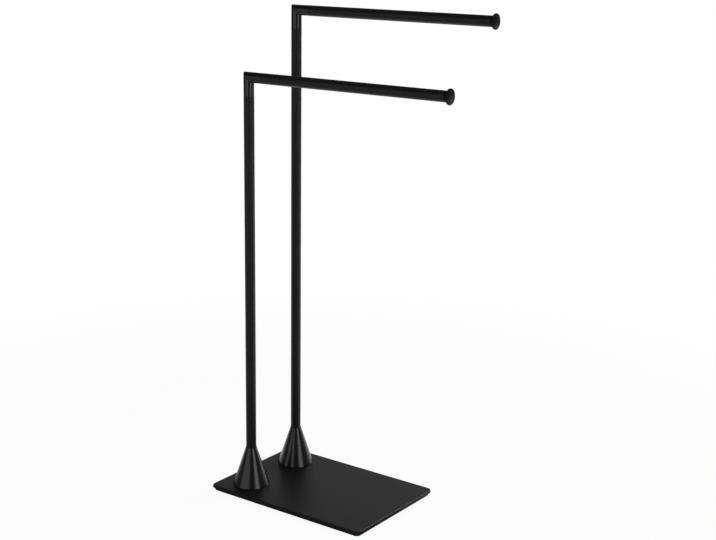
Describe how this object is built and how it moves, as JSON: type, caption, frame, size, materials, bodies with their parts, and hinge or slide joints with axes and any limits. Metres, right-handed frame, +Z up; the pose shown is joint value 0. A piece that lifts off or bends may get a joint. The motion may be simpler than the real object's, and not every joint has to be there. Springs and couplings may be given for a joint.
{
  "type": "freestanding towel stand",
  "caption": "Black floor-standing towel stand: weighted rectangular base, two posts of different height on conical feet, each with a swivelling horizontal towel arm.",
  "frame": {"origin": "centre of the base's underside, on the floor", "axes": "+X along the base towards the free ends of the arms, +Y from the short post to the tall post, +Z up"},
  "size_m": [0.475, 0.24, 0.9005],
  "materials": {
    "powder_coated_steel": "matte black powder coat on steel",
    "satin_black_steel": "satin black plated steel, turned or brushed",
    "black_ballast_steel": "dull black primed steel plate",
    "black_rubber": "matte black rubber",
    "black_nylon": "turned black nylon",
    "zinc_plated_steel": "bright zinc plated steel"
  },
  "bodies": {
    "stand": {"base_plate": "powder_coated_steel", "ballast_plate": "black_ballast_steel", "anti_slip_pad": "black_rubber", "ballast_screws": "zinc_plated_steel", "post_screws": "zinc_plated_steel", "short_post_foot": "zinc_plated_steel", "short_post_tube": "powder_coated_steel", "short_post_cone": "satin_black_steel", "short_post_cone_ring": "black_rubber", "short_post_swivel_bush": "black_nylon", "tall_post_foot": "zinc_plated_steel", "tall_post_tube": "powder_coated_steel", "tall_post_cone": "satin_black_steel", "tall_post_cone_ring": "black_rubber", "tall_post_swivel_bush": "black_nylon"},
    "lower_arm": {"lower_arm_elbow": "satin_black_steel", "lower_arm_pivot_pin": "zinc_plated_steel", "lower_arm_thrust_washer": "black_nylon", "lower_arm_retaining_ring": "zinc_plated_steel", "lower_arm_joiner": "zinc_plated_steel", "lower_arm_grub_screw": "zinc_plated_steel", "lower_arm_tube": "powder_coated_steel", "lower_arm_end_cap": "satin_black_steel"},
    "upper_arm": {"upper_arm_elbow": "satin_black_steel", "upper_arm_pivot_pin": "zinc_plated_steel", "upper_arm_thrust_washer": "black_nylon", "upper_arm_retaining_ring": "zinc_plated_steel", "upper_arm_joiner": "zinc_plated_steel", "upper_arm_grub_screw": "zinc_plated_steel", "upper_arm_tube": "powder_coated_steel", "upper_arm_end_cap": "satin_black_steel"}
  },
  "joints": [
    {"name": "lower_arm_swivel", "type": "hinge", "parent": "stand", "child": "lower_arm", "pos_m": [-0.116, -0.067, 0.743], "axis": [0, 0, 1], "range_deg": [-261, 81]},
    {"name": "upper_arm_swivel", "type": "hinge", "parent": "stand", "child": "upper_arm", "pos_m": [-0.116, 0.067, 0.854], "axis": [0, 0, 1], "continuous": true}
  ]
}
